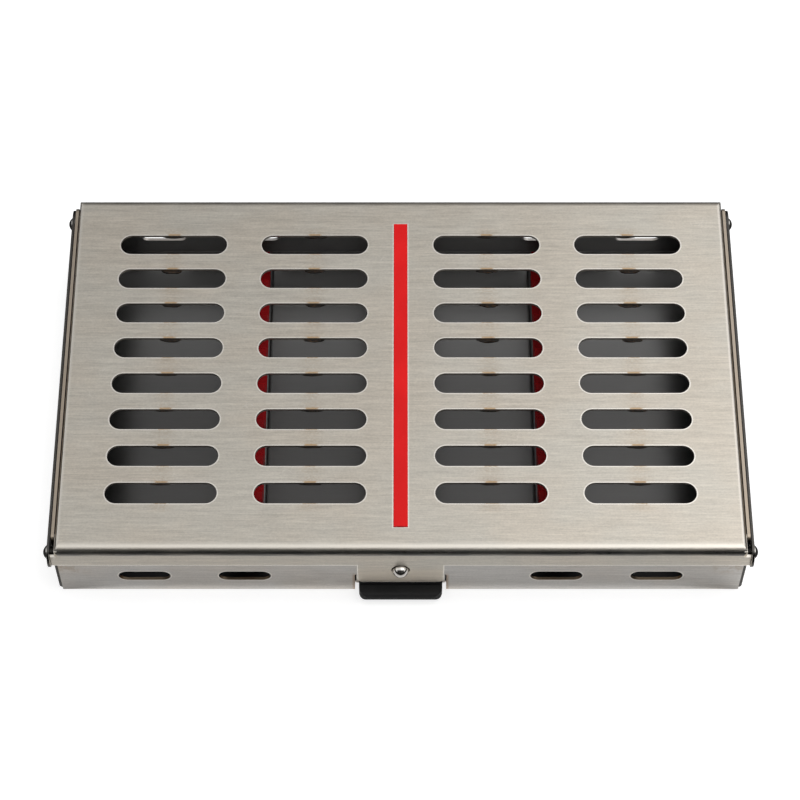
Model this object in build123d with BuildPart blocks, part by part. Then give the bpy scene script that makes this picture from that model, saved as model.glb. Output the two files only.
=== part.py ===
from build123d import *
from math import asin, cos, sin
import os

# Dental instrument cassette: a folded steel tray, a slotted lid on two side arms, silicone rails
# that hold the instruments, and a sprung latch at the front.
# Millimetres. +X runs along the instruments, +Y towards the hinge, +Z up.
# The origin is the centre of the tray's underside.

# ---------------------------------------------------------------- sheet metal
SHEET = 0.8                      # tray and lid
ARM_SHEET = 0.6                  # side arms
SPRING_SHEET = 0.5               # latch tongue and its frame

# ---------------------------------------------------------------- tray
TRAY_WIDTH = 179.6               # over the side walls
TRAY_DEPTH = 107.8               # over the front and back walls
TRAY_BEND = 1.0                  # outer radius of the folds
SIDE_WALL_DROP = 1.0             # wall tops below the lid's top
FRONT_WALL_DROP = 2.0            # clears the inside of the lid's front fold
BACK_WALL_DROP = 11.8            # lets the lid's back edge swing past
WALL_CORNER = 1.1                # rounded lower ends of the front and back walls
SIDE_WALL_CORNER = 1.5           # rounded upper ends of the side walls

WALL_SLOT_LENGTH = 13.6
WALL_SLOT_HEIGHT = 4.8
WALL_SLOT_Z = 8.6
WALL_SLOT_X = (40.6, 66.7)       # slot centres each side of the middle

# ---------------------------------------------------------------- lid
CASSETTE_HEIGHT = 24.0           # tray underside to lid top
LID_SIDE_GAP = 0.25              # lid to the side walls
LID_END_GAP = 0.2                # lid flanges to the front and back walls
LID_BEND = 2.3                   # outer radius of the front and back folds
LID_SIDE_BEND = 1.2              # outer radius of the side folds
LID_FLANGE = 7.6                 # depth of the front and back flanges
LID_SIDE_FLANGE = 2.7            # depth of the side flanges
FLANGE_EAR_HEIGHT = 4.6          # height of the front flange's wider ends
FLANGE_EAR_GAP = 0.1             # front flange's ends to the side arms
LID_CORNER = 1.0                 # upright corners, seen from above
CORNER_LENGTH = 2.0              # full-depth corner along each side

LID_SLOT_LENGTH = 29.1
LID_SLOT_WIDTH = 6.1
LID_SLOT_ROWS = 8
LID_SLOT_PITCH = 11.05
LID_SLOT_X = (23.5, 62.1)        # column centres each side of the middle
LID_SLOT_SHIFT = 0.9             # the rows sit this far behind the middle

TAB_WIDTH = 22.6
TAB_BOTTOM = 6.9
TAB_CORNER = 2.0
TAB_ROOT_RADIUS = 1.8

# ---------------------------------------------------------------- side arms and pivots
PIVOT_DROP = 4.6                 # below the lid's top
REAR_PIVOT_INSET = 4.45          # rear pivot to the tray's back face
FRONT_PIVOT_INSET = 1.35         # front pivot to the tray's front face
ARM_RADIUS = 3.85
ARM_GAP = 0.2                    # arm to side wall
EAR_RADIUS = 3.2                 # lid's ear round the front pivot
PIN_RADIUS = 1.0
PIN_CLEARANCE = 0.04             # arm on its pin
PIN_HEAD_RADIUS = 1.75
PIN_HEAD_HEIGHT = 1.3
PIN_TAIL_RADIUS = 1.3
PIN_TAIL_HEIGHT = 0.7
PIVOT_PLAY = 0.05                # along each pin
REAR_WASHER_RADIUS = 2.6
FRONT_SPACER_RADIUS = 1.45
PIN_NOTCH_GAP = 0.3              # front spacer to the notch in the side wall

# ---------------------------------------------------------------- latch
STUD_Z = 13.9
STUD_RADIUS = 2.1
STUD_REACH = 3.1                 # stud's crown in front of the tray
STUD_HOLE_GAP = 0.3              # stud to the tab's hole
STUD_WALL_GAP = 0.8              # stud to the hole in the tray's front wall
STUD_NECK_RADIUS = 1.2
STUD_TAIL_RADIUS = 1.9
STUD_TAIL_HEIGHT = 0.6
LATCH_PIVOT_DROP = 3.7           # bend line of the latch tongue below the lid's top
TONGUE_WIDTH = 23.2
TONGUE_GAP = 0.05                # tongue to the front wall
FRAME_BAND = 1.2                 # strip above the tongue
FRAME_BAND_GAP = 0.15            # strip to the tongue
FRAME_LEG = 6.1                  # strip each side of the tongue
FRAME_HEIGHT = 8.4
FRAME_SIDE_GAP = 0.3             # tongue to the frame
FRAME_RIVET_DROP = 2.9           # below the bend line
WINDOW_SIDE_GAP = 0.4            # tongue to the window in the front wall
WINDOW_TOP = 9.4
WINDOW_FLOOR_CUT = 2.4           # the window runs on into the floor
JOGGLE_TOP = 9.1
JOGGLE_HEIGHT = 0.8
JOGGLE_RECESS = 0.1              # tongue's face behind the front wall's face
LIP_Z = 3.0                      # mid height of the finger lip
LIP_REACH = 2.9                  # steel lip in front of the tray
LIP_BEND = 0.9                   # inner radius
GRIP_WIDTH = 21.8
GRIP_TOP = 6.6
GRIP_NOSE = 1.5                  # half the thickness of the grip's lip
GRIP_REACH = 3.9                 # grip's nose in front of the tray
GRIP_FRONT = 0.6                 # grip's upright face in front of the tray
GRIP_BACK = 0.55                 # grip behind the tongue
GRIP_CORNER = 2.6
GRIP_ROOT_RADIUS = 1.0

# ---------------------------------------------------------------- instrument rails
RAIL_X = 41.0
RAIL_WIDTH = 9.0
RAIL_END_TOOTH = 2.5             # each end, beyond the last notch
RAIL_TOP = 12.5
NOTCH_WIDTH = 7.0
NOTCH_DEPTH = 5.5
NOTCH_ROUND = 2.6                # corners at the bottom of a notch
TOOTH_ROUND = 1.0
CHANNEL_GAP = 0.1
CHANNEL_HEIGHT = 4.2
CHANNEL_BEND = 1.2
CHANNEL_LIP = 0.7                # inward lips that hold the rail's foot
CHANNEL_RIVET_SPACING = 33.15
CHANNEL_RIVETS = 3
RIVET_RADIUS = 1.0
RIVET_HEAD_RADIUS = 1.9
RIVET_HEAD_HEIGHT = 0.6
RIVET_POCKET_GAP = 0.15

# ---------------------------------------------------------------- silicone strip in the lid
STRIP_LENGTH = 94.0
STRIP_SHIFT = -0.7               # in front of the middle
STRIP_CAP_WIDTH = 3.75
STRIP_CAP_HEIGHT = 0.4
STRIP_NECK_WIDTH = 2.6
STRIP_NECK_GAP = 0.1
STRIP_BODY_WIDTH = 8.0
STRIP_BODY_HEIGHT = 5.6
STRIP_BODY_ROUND = 2.5

# ---------------------------------------------------------------- worked out from the above
SIDE_WALL_TOP = CASSETTE_HEIGHT - SIDE_WALL_DROP
FRONT_WALL_TOP = CASSETTE_HEIGHT - FRONT_WALL_DROP
BACK_WALL_TOP = CASSETTE_HEIGHT - BACK_WALL_DROP
PIVOT_Z = CASSETTE_HEIGHT - PIVOT_DROP
LATCH_PIVOT_Z = CASSETTE_HEIGHT - LATCH_PIVOT_DROP
FRAME_RIVET_Z = LATCH_PIVOT_Z - FRAME_RIVET_DROP

TRAY_X = TRAY_WIDTH / 2
TRAY_Y = TRAY_DEPTH / 2
WALL_END_X = TRAY_X - TRAY_BEND          # ends of the front and back walls
WALL_END_Y = TRAY_Y - TRAY_BEND          # ends of the side walls
SIDE_INNER = TRAY_X - SHEET
FRONT_INNER = -TRAY_Y + SHEET

LID_X = SIDE_INNER - LID_SIDE_GAP
LID_Y = TRAY_Y + LID_END_GAP + SHEET
LID_UNDERSIDE = CASSETTE_HEIGHT - SHEET
FLANGE_BOTTOM = CASSETTE_HEIGHT - LID_FLANGE
SIDE_FLANGE_BOTTOM = CASSETTE_HEIGHT - LID_SIDE_FLANGE
CORNER_START = LID_Y - CORNER_LENGTH
EAR_X = LID_X - SHEET                    # inner face of the lid's ears

REAR_PIVOT_Y = TRAY_Y - REAR_PIVOT_INSET
FRONT_PIVOT_Y = -TRAY_Y + FRONT_PIVOT_INSET
ARM_INNER = TRAY_X + ARM_GAP
ARM_OUTER = ARM_INNER + ARM_SHEET
ARM_LENGTH = REAR_PIVOT_Y - FRONT_PIVOT_Y
ARM_MIDDLE_Y = (REAR_PIVOT_Y + FRONT_PIVOT_Y) / 2
FLANGE_END_X = ARM_INNER - FLANGE_EAR_GAP

PIN_NOTCH_BACK = FRONT_PIVOT_Y + FRONT_SPACER_RADIUS + PIN_NOTCH_GAP
PIN_NOTCH_BOTTOM = PIVOT_Z - FRONT_SPACER_RADIUS - PIN_NOTCH_GAP
EAR_NOTCH_BOTTOM = PIVOT_Z - EAR_RADIUS - PIN_NOTCH_GAP
EAR_NOTCH_X = EAR_X - PIN_TAIL_HEIGHT - PIN_NOTCH_GAP

LATCH_PIVOT_Y = FRONT_INNER + TONGUE_GAP + SPRING_SHEET / 2
TONGUE_FRONT = FRONT_INNER + TONGUE_GAP
LOWER_TONGUE_FRONT = -TRAY_Y + JOGGLE_RECESS
LIP_END = -TRAY_Y - LIP_REACH
NOSE_Y = -TRAY_Y - GRIP_REACH
FRAME_INNER_X = TONGUE_WIDTH / 2 + FRAME_SIDE_GAP
FRAME_RIVET_X = FRAME_INNER_X + FRAME_LEG / 2
FRAME_BAND_BOTTOM = LATCH_PIVOT_Z + SPRING_SHEET / 2 + FRAME_BAND_GAP
FRAME_TOP = FRAME_BAND_BOTTOM + FRAME_BAND
WINDOW_X = TONGUE_WIDTH / 2 + WINDOW_SIDE_GAP

RAIL_LENGTH = LID_SLOT_PITCH * (LID_SLOT_ROWS - 1) + NOTCH_WIDTH + 2 * RAIL_END_TOOTH
RAIL_BOTTOM = 2 * SHEET
RAIL_FOOT_TOP = CHANNEL_HEIGHT - CHANNEL_GAP
CHANNEL_INNER = RAIL_WIDTH / 2 + CHANNEL_GAP
WAIST_X = CHANNEL_INNER - CHANNEL_LIP - CHANNEL_GAP
STRIP_NECK_LENGTH = STRIP_LENGTH - STRIP_CAP_WIDTH + STRIP_NECK_WIDTH
MIRRORED = (-1, 1)

os.makedirs("parts", exist_ok=True)


def write(builder, name):
    """Labels a finished piece and writes it under its own name."""
    builder.part.label = name
    export_step(builder.part, f"parts/{name}.step")


def plane_at_y(y):
    """A plane facing the front, with sketch x along +X and sketch y along +Z."""
    return Plane.XZ.offset(-y)


def plane_at_x(x):
    """A plane facing +X, with sketch x along +Y and sketch y along +Z."""
    return Plane.YZ.offset(x)


def channel_section(width, height, sheet, bend):
    """Open-topped U: two upright walls and a floor, folded from one sheet."""
    with Locations((0, height / 2)):
        outer = Rectangle(width, height)
    fillet(outer.vertices().group_by(Axis.Y)[0], bend)
    with Locations((0, sheet + height / 2)):
        Rectangle(width - 2 * sheet, height, mode=Mode.SUBTRACT)
    fillet(vertices(Select.LAST).group_by(Axis.Y)[0], bend - sheet)


def rounded_block(half_x, half_y, top, inset):
    """Block down to the lid's flange bottom. Its rounded edges are the lid's, less an inset."""
    height = top - FLANGE_BOTTOM
    with BuildPart() as block:
        with BuildSketch(Plane.YZ):
            with Locations((0, FLANGE_BOTTOM)):
                Rectangle(2 * half_y, height, align=(Align.CENTER, Align.MIN))
            fillet(vertices().group_by(Axis.Y)[-1], LID_BEND - inset)
        extrude(amount=half_x, both=True)
        with BuildSketch(Plane.XZ):
            with Locations((0, FLANGE_BOTTOM)):
                Rectangle(2 * half_x, height, align=(Align.CENTER, Align.MIN))
            fillet(vertices().group_by(Axis.Y)[-1], LID_SIDE_BEND - inset)
        extrude(amount=half_y, both=True, mode=Mode.INTERSECT)
        with BuildSketch(Plane.XY.offset(FLANGE_BOTTOM)):
            RectangleRounded(2 * half_x, 2 * half_y, LID_CORNER - inset)
        extrude(amount=height, mode=Mode.INTERSECT)
    return block.part


def row_positions():
    """Middle of each row of slots in the lid, which the rails' notches share."""
    first = LID_SLOT_SHIFT + LID_SLOT_PITCH * (LID_SLOT_ROWS - 1) / 2
    return [first - LID_SLOT_PITCH * row for row in range(LID_SLOT_ROWS)]


# ================================================================ tray
with BuildPart() as base_tray:
    # floor with the front and back walls
    with BuildSketch(Plane.YZ):
        channel_section(TRAY_DEPTH, FRONT_WALL_TOP, SHEET, TRAY_BEND)
    extrude(amount=WALL_END_X, both=True)
    # those walls have rounded lower corners
    with BuildSketch(Plane.XZ):
        with Locations((0, FRONT_WALL_TOP / 2)):
            wall_outline = Rectangle(2 * WALL_END_X, FRONT_WALL_TOP)
        fillet(wall_outline.vertices().group_by(Axis.Y)[0], WALL_CORNER)
    extrude(amount=TRAY_DEPTH, both=True, mode=Mode.INTERSECT)
    # the back wall is lower
    with BuildSketch(plane_at_y(TRAY_Y)):
        with Locations((0, BACK_WALL_TOP)):
            Rectangle(TRAY_WIDTH, FRONT_WALL_TOP, align=(Align.CENTER, Align.MIN))
    extrude(amount=2 * SHEET, mode=Mode.SUBTRACT)
    # the front wall stops short at both ends, above the lid's ears
    with BuildSketch(plane_at_y(-TRAY_Y)):
        for side in MIRRORED:
            with Locations((side * TRAY_X, EAR_NOTCH_BOTTOM)):
                Rectangle(2 * (TRAY_X - EAR_NOTCH_X), FRONT_WALL_TOP, align=(Align.CENTER, Align.MIN))
    extrude(amount=-2 * SHEET, mode=Mode.SUBTRACT)
    # floor with the side walls
    with BuildSketch(Plane.XZ):
        channel_section(TRAY_WIDTH, SIDE_WALL_TOP, SHEET, TRAY_BEND)
    extrude(amount=WALL_END_Y, both=True)
    # notches in the side walls, where the front pins come down
    for side in MIRRORED:
        with BuildSketch(plane_at_x(side * SIDE_INNER)):
            with Locations((PIN_NOTCH_BACK, PIN_NOTCH_BOTTOM)):
                Rectangle(PIN_NOTCH_BACK + TRAY_Y, SIDE_WALL_TOP, align=(Align.MAX, Align.MIN))
        extrude(amount=side * SHEET, mode=Mode.SUBTRACT)
    fillet(edges().filter_by(Axis.X).group_by(Axis.Z)[-1], SIDE_WALL_CORNER)
    # holes for the rear pins
    for side in MIRRORED:
        with BuildSketch(plane_at_x(side * SIDE_INNER)):
            with Locations((REAR_PIVOT_Y, PIVOT_Z)):
                Circle(PIN_RADIUS)
        extrude(amount=side * SHEET, mode=Mode.SUBTRACT)
    # slots in the front and back walls
    with BuildSketch(plane_at_y(TRAY_Y)):
        for side in MIRRORED:
            with Locations([(side * x, WALL_SLOT_Z) for x in WALL_SLOT_X]):
                SlotOverall(WALL_SLOT_LENGTH, WALL_SLOT_HEIGHT)
    extrude(amount=TRAY_DEPTH, mode=Mode.SUBTRACT)
    # front wall: window for the latch, hole for its stud, holes for its rivets
    with BuildSketch(plane_at_y(-TRAY_Y)):
        window = Rectangle(2 * WINDOW_X, 2 * WINDOW_TOP)
        fillet(window.vertices().group_by(Axis.Y)[-1], SHEET)
    extrude(amount=-WINDOW_FLOOR_CUT, mode=Mode.SUBTRACT)
    with BuildSketch(plane_at_y(-TRAY_Y)):
        with Locations((0, STUD_Z)):
            Circle(STUD_RADIUS + STUD_WALL_GAP)
        with Locations((-FRAME_RIVET_X, FRAME_RIVET_Z), (FRAME_RIVET_X, FRAME_RIVET_Z)):
            Circle(RIVET_RADIUS)
    extrude(amount=-SHEET, mode=Mode.SUBTRACT)
    # floor: holes for the rivets of the rail channels
    with BuildSketch(Plane.XY):
        for side in MIRRORED:
            with Locations((side * RAIL_X, LID_SLOT_SHIFT)):
                with GridLocations(0, CHANNEL_RIVET_SPACING, 1, CHANNEL_RIVETS):
                    Circle(RIVET_RADIUS)
    extrude(amount=SHEET, mode=Mode.SUBTRACT)
write(base_tray, "base_tray")

# ================================================================ lid
with BuildPart() as lid_panel:
    # pan with closed corners
    add(rounded_block(LID_X, LID_Y, CASSETTE_HEIGHT, 0))
    add(rounded_block(EAR_X, LID_Y - SHEET, LID_UNDERSIDE, SHEET), mode=Mode.SUBTRACT)
    # between the corners the side folds are short
    with BuildSketch(Plane.XY.offset(FLANGE_BOTTOM)):
        for side in MIRRORED:
            with Locations((side * LID_X, 0)):
                Rectangle(4 * SHEET, 2 * CORNER_START)
    extrude(amount=LID_FLANGE - LID_SIDE_FLANGE, mode=Mode.SUBTRACT)
    # front flange: wider ends that cover the tray's corners, and the tab with the stud's hole
    with BuildSketch(plane_at_y(-LID_Y)):
        with Locations((0, FLANGE_BOTTOM)):
            Rectangle(2 * FLANGE_END_X, FLANGE_EAR_HEIGHT, align=(Align.CENTER, Align.MIN))
        with Locations((0, TAB_BOTTOM)):
            Rectangle(TAB_WIDTH, FLANGE_BOTTOM - TAB_BOTTOM + SHEET, align=(Align.CENTER, Align.MIN))
        by_height = vertices().group_by(Axis.Y)
        fillet(by_height[0], TAB_CORNER)
        fillet(by_height[1].sort_by(Axis.X)[1:3], TAB_ROOT_RADIUS)
        with Locations((0, STUD_Z)):
            Circle(STUD_RADIUS + STUD_HOLE_GAP, mode=Mode.SUBTRACT)
    extrude(amount=-SHEET)
    # ears round the front pins, joined to the front flange
    for side in MIRRORED:
        with BuildSketch(plane_at_x(side * EAR_X)):
            with Locations((FRONT_PIVOT_Y, PIVOT_Z)):
                Circle(EAR_RADIUS)
                Rectangle(2 * EAR_RADIUS, LID_UNDERSIDE - PIVOT_Z, align=(Align.CENTER, Align.MIN))
            with Locations((-LID_Y + SHEET / 2, PIVOT_Z)):
                Rectangle(LID_FLANGE, 2 * LID_FLANGE, align=(Align.MAX, Align.CENTER), mode=Mode.SUBTRACT)
        extrude(amount=side * SHEET)
        with BuildSketch(plane_at_x(side * EAR_X)):
            with Locations((FRONT_PIVOT_Y, PIVOT_Z)):
                Circle(PIN_RADIUS)
        extrude(amount=side * SHEET, mode=Mode.SUBTRACT)
    # slots in the top
    with BuildSketch(Plane.XY.offset(LID_UNDERSIDE)):
        for side in MIRRORED:
            with Locations([(side * x, y) for x in LID_SLOT_X for y in row_positions()]):
                SlotOverall(LID_SLOT_LENGTH, LID_SLOT_WIDTH)
        with Locations((0, STRIP_SHIFT)):
            Rectangle(STRIP_NECK_WIDTH + 2 * STRIP_NECK_GAP, STRIP_NECK_LENGTH + 2 * STRIP_NECK_GAP)
    extrude(amount=SHEET, mode=Mode.SUBTRACT)
write(lid_panel, "lid_panel")

with BuildPart() as lid_silicone_strip:
    # body below the lid, which presses on the instruments
    with BuildSketch(plane_at_y(STRIP_SHIFT)):
        with Locations((0, LID_UNDERSIDE)):
            body = Rectangle(STRIP_BODY_WIDTH, STRIP_BODY_HEIGHT, align=(Align.CENTER, Align.MAX))
        fillet(body.vertices().group_by(Axis.Y)[0], STRIP_BODY_ROUND)
    extrude(amount=STRIP_LENGTH / 2, both=True)
    # neck through the lid, and the cap on top
    with BuildSketch(Plane.XY.offset(LID_UNDERSIDE)):
        with Locations((0, STRIP_SHIFT)):
            Rectangle(STRIP_NECK_WIDTH, STRIP_NECK_LENGTH)
    extrude(amount=SHEET)
    with BuildSketch(Plane.XY.offset(CASSETTE_HEIGHT)):
        with Locations((0, STRIP_SHIFT)):
            Rectangle(STRIP_CAP_WIDTH, STRIP_LENGTH)
    extrude(amount=STRIP_CAP_HEIGHT)
    fillet(edges().group_by(Axis.Z)[-1], STRIP_CAP_HEIGHT / 2)
write(lid_silicone_strip, "lid_silicone_strip")


# ================================================================ side arms and their pins
def side_arm(side, name):
    """Flat bar with round ends, outside the side wall."""
    with BuildPart() as arm:
        with BuildSketch(plane_at_x(side * ARM_INNER)):
            with Locations((ARM_MIDDLE_Y, PIVOT_Z)):
                SlotCenterToCenter(ARM_LENGTH, 2 * ARM_RADIUS)
            with Locations((REAR_PIVOT_Y, PIVOT_Z), (FRONT_PIVOT_Y, PIVOT_Z)):
                Circle(PIN_RADIUS + PIN_CLEARANCE, mode=Mode.SUBTRACT)
        extrude(amount=side * ARM_SHEET)
    write(arm, name)


def pivot_pin(side, y, seat_x, name):
    """Rivet with a domed head outside the arm. Its tail is closed on the sheet at seat_x."""
    head_x = ARM_OUTER + PIVOT_PLAY
    tail_x = seat_x - PIN_TAIL_HEIGHT
    crown_x = head_x + PIN_HEAD_HEIGHT
    rim_x = head_x + PIN_HEAD_HEIGHT / 3
    rise = crown_x - rim_x
    dome = (PIN_HEAD_RADIUS ** 2 + rise ** 2) / (2 * rise)
    half_angle = asin(PIN_HEAD_RADIUS / dome) / 2
    shoulder = (side * (crown_x - dome + dome * cos(half_angle)), y + dome * sin(half_angle))
    with BuildPart() as pin:
        with BuildSketch(Plane.XY.offset(PIVOT_Z)):
            with BuildLine():
                Polyline((side * crown_x, y), (side * tail_x, y), (side * tail_x, y + PIN_TAIL_RADIUS),
                         (side * seat_x, y + PIN_TAIL_RADIUS), (side * seat_x, y + PIN_RADIUS),
                         (side * head_x, y + PIN_RADIUS), (side * head_x, y + PIN_HEAD_RADIUS),
                         (side * rim_x, y + PIN_HEAD_RADIUS))
                ThreePointArc((side * rim_x, y + PIN_HEAD_RADIUS), shoulder, (side * crown_x, y))
            make_face()
        revolve(axis=Axis((0, y, PIVOT_Z), (1, 0, 0)))
    write(pin, name)


def ring(side, y, inner_x, outer_x, radius, name):
    """Washer or spacer on a pin, between two sheets."""
    with BuildPart() as washer:
        with BuildSketch(plane_at_x(side * inner_x)):
            with Locations((y, PIVOT_Z)):
                Circle(radius)
                Circle(PIN_RADIUS + PIN_CLEARANCE, mode=Mode.SUBTRACT)
        extrude(amount=side * (outer_x - inner_x))
    write(washer, name)


for side, label in ((-1, "left"), (1, "right")):
    side_arm(side, f"arm_{label}")
    pivot_pin(side, REAR_PIVOT_Y, SIDE_INNER, f"rear_pin_{label}")
    pivot_pin(side, FRONT_PIVOT_Y, EAR_X, f"front_pin_{label}")
    ring(side, REAR_PIVOT_Y, TRAY_X, ARM_INNER - PIVOT_PLAY, REAR_WASHER_RADIUS, f"rear_washer_{label}")
    ring(side, FRONT_PIVOT_Y, LID_X, ARM_INNER - PIVOT_PLAY, FRONT_SPACER_RADIUS, f"front_spacer_{label}")

# ================================================================ latch
with BuildPart() as latch_frame:
    # fixed part of the spring plate, on the inside of the front wall
    with BuildSketch(plane_at_y(FRONT_INNER)):
        with Locations((0, FRAME_TOP)):
            Rectangle(2 * (FRAME_INNER_X + FRAME_LEG), FRAME_HEIGHT, align=(Align.CENTER, Align.MAX))
        fillet(vertices(), SHEET)
        with Locations((0, FRAME_BAND_BOTTOM)):
            Rectangle(2 * FRAME_INNER_X, FRAME_TOP, align=(Align.CENTER, Align.MAX), mode=Mode.SUBTRACT)
        with Locations((-FRAME_RIVET_X, FRAME_RIVET_Z), (FRAME_RIVET_X, FRAME_RIVET_Z)):
            Circle(RIVET_RADIUS, mode=Mode.SUBTRACT)
    extrude(amount=-SPRING_SHEET)
write(latch_frame, "latch_frame")

with BuildPart() as latch_rivets:
    # flush with the front wall outside, headed inside
    with BuildSketch(plane_at_y(-TRAY_Y)):
        with Locations((-FRAME_RIVET_X, FRAME_RIVET_Z), (FRAME_RIVET_X, FRAME_RIVET_Z)):
            Circle(RIVET_RADIUS)
    extrude(amount=-(SHEET + SPRING_SHEET))
    with BuildSketch(plane_at_y(FRONT_INNER + SPRING_SHEET)):
        with Locations((-FRAME_RIVET_X, FRAME_RIVET_Z), (FRAME_RIVET_X, FRAME_RIVET_Z)):
            Circle(RIVET_HEAD_RADIUS)
    extrude(amount=-RIVET_HEAD_HEIGHT)
    fillet(edges().group_by(Axis.Y)[-1], RIVET_HEAD_HEIGHT / 2)
write(latch_rivets, "latch_rivets")

with BuildPart() as latch_tongue:
    # hangs behind the front wall, steps out through the window and turns forward as a lip
    upper_y = TONGUE_FRONT + SPRING_SHEET / 2
    lower_y = LOWER_TONGUE_FRONT + SPRING_SHEET / 2
    with BuildSketch(Plane.YZ):
        with BuildLine():
            FilletPolyline((upper_y, LATCH_PIVOT_Z), (upper_y, JOGGLE_TOP),
                           (lower_y, JOGGLE_TOP - JOGGLE_HEIGHT), (lower_y, LIP_Z), (LIP_END, LIP_Z),
                           radius=LIP_BEND)
        trace(line_width=SPRING_SHEET)
        with Locations((LATCH_PIVOT_Y, LATCH_PIVOT_Z)):
            Circle(SPRING_SHEET / 2)
    extrude(amount=TONGUE_WIDTH / 2, both=True)
    # the lip is narrower, so that the grip covers it
    with BuildSketch(Plane.XY):
        for side in MIRRORED:
            with Locations((side * TONGUE_WIDTH / 2, lower_y)):
                Rectangle(2 * (TONGUE_WIDTH / 2 - GRIP_WIDTH / 2 + GRIP_NOSE), 4 * LIP_REACH)
    extrude(amount=LIP_Z + LIP_BEND + SPRING_SHEET, mode=Mode.SUBTRACT)
    with BuildSketch(plane_at_y(TONGUE_FRONT)):
        with Locations((0, STUD_Z)):
            Circle(STUD_NECK_RADIUS)
    extrude(amount=-SPRING_SHEET, mode=Mode.SUBTRACT)
write(latch_tongue, "latch_tongue")

with BuildPart() as latch_stud:
    # domed pin through the front wall and the lid's tab, headed behind the tongue
    crown_y = -TRAY_Y - STUD_REACH
    tongue_back = TONGUE_FRONT + SPRING_SHEET
    slant = STUD_RADIUS * 0.5 ** 0.5
    with BuildSketch(Plane.YZ):
        with BuildLine():
            ThreePointArc((crown_y, STUD_Z), (crown_y + STUD_RADIUS - slant, STUD_Z + slant),
                          (crown_y + STUD_RADIUS, STUD_Z + STUD_RADIUS))
            Polyline((crown_y + STUD_RADIUS, STUD_Z + STUD_RADIUS), (TONGUE_FRONT, STUD_Z + STUD_RADIUS),
                     (TONGUE_FRONT, STUD_Z + STUD_NECK_RADIUS), (tongue_back, STUD_Z + STUD_NECK_RADIUS),
                     (tongue_back, STUD_Z + STUD_TAIL_RADIUS),
                     (tongue_back + STUD_TAIL_HEIGHT, STUD_Z + STUD_TAIL_RADIUS),
                     (tongue_back + STUD_TAIL_HEIGHT, STUD_Z), (crown_y, STUD_Z))
        make_face()
    revolve(axis=Axis((0, 0, STUD_Z), (0, 1, 0)))
write(latch_stud, "latch_stud")

with BuildPart() as latch_grip:
    # moulded cover on the lip: an upright back and a finger ledge
    back_y = LOWER_TONGUE_FRONT + SPRING_SHEET + GRIP_BACK
    face_y = -TRAY_Y - GRIP_FRONT
    with BuildSketch(Plane.YZ):
        with BuildLine():
            Polyline((back_y, LIP_Z - GRIP_NOSE), (back_y, GRIP_TOP), (face_y, GRIP_TOP),
                     (face_y, LIP_Z + GRIP_NOSE), (NOSE_Y, LIP_Z + GRIP_NOSE), (NOSE_Y, LIP_Z - GRIP_NOSE),
                     close=True)
        make_face()
        by_depth = vertices().group_by(Axis.X)
        fillet(by_depth[0], 0.8 * GRIP_NOSE)
        fillet(by_depth[1].sort_by(Axis.Y)[0], GRIP_ROOT_RADIUS)
        fillet(by_depth[-1].sort_by(Axis.Y)[0], GRIP_BACK)
    extrude(amount=GRIP_WIDTH / 2, both=True)
    with BuildSketch(Plane.XY):
        with Locations((0, NOSE_Y)):
            plan = Rectangle(GRIP_WIDTH, back_y - NOSE_Y, align=(Align.CENTER, Align.MIN))
        fillet(plan.vertices().group_by(Axis.Y)[0], GRIP_CORNER)
    extrude(amount=2 * GRIP_TOP, mode=Mode.INTERSECT)
    add(latch_tongue.part, mode=Mode.SUBTRACT)
write(latch_grip, "latch_grip")


# ================================================================ instrument rails
def rail_channel(side, name):
    """Folded channel on the floor, with inward lips along both top edges."""
    with BuildPart() as channel:
        with BuildSketch(plane_at_y(LID_SLOT_SHIFT)):
            with Locations((side * RAIL_X, SHEET)):
                outer = Rectangle(2 * (CHANNEL_INNER + SHEET), CHANNEL_HEIGHT,
                                  align=(Align.CENTER, Align.MIN))
            fillet(outer.vertices(), CHANNEL_BEND)
            with Locations((side * RAIL_X, 2 * SHEET)):
                Rectangle(2 * CHANNEL_INNER, CHANNEL_HEIGHT - 2 * SHEET,
                          align=(Align.CENTER, Align.MIN), mode=Mode.SUBTRACT)
                Rectangle(2 * (CHANNEL_INNER - CHANNEL_LIP), CHANNEL_HEIGHT,
                          align=(Align.CENTER, Align.MIN), mode=Mode.SUBTRACT)
        extrude(amount=RAIL_LENGTH / 2, both=True)
        with BuildSketch(Plane.XY.offset(SHEET)):
            with Locations((side * RAIL_X, LID_SLOT_SHIFT)):
                with GridLocations(0, CHANNEL_RIVET_SPACING, 1, CHANNEL_RIVETS):
                    Circle(RIVET_RADIUS)
        extrude(amount=SHEET, mode=Mode.SUBTRACT)
    write(channel, name)


def channel_rivets(side, name):
    """Rivets through the floor and the channel, flush underneath."""
    with BuildPart() as rivets:
        for radius, bottom, height in ((RIVET_RADIUS, 0, 2 * SHEET),
                                       (RIVET_HEAD_RADIUS, 2 * SHEET, RIVET_HEAD_HEIGHT)):
            with BuildSketch(Plane.XY.offset(bottom)):
                with Locations((side * RAIL_X, LID_SLOT_SHIFT)):
                    with GridLocations(0, CHANNEL_RIVET_SPACING, 1, CHANNEL_RIVETS):
                        Circle(radius)
            extrude(amount=height)
        fillet(edges().group_by(Axis.Z)[-1], RIVET_HEAD_HEIGHT / 2)
    write(rivets, name)


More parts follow.
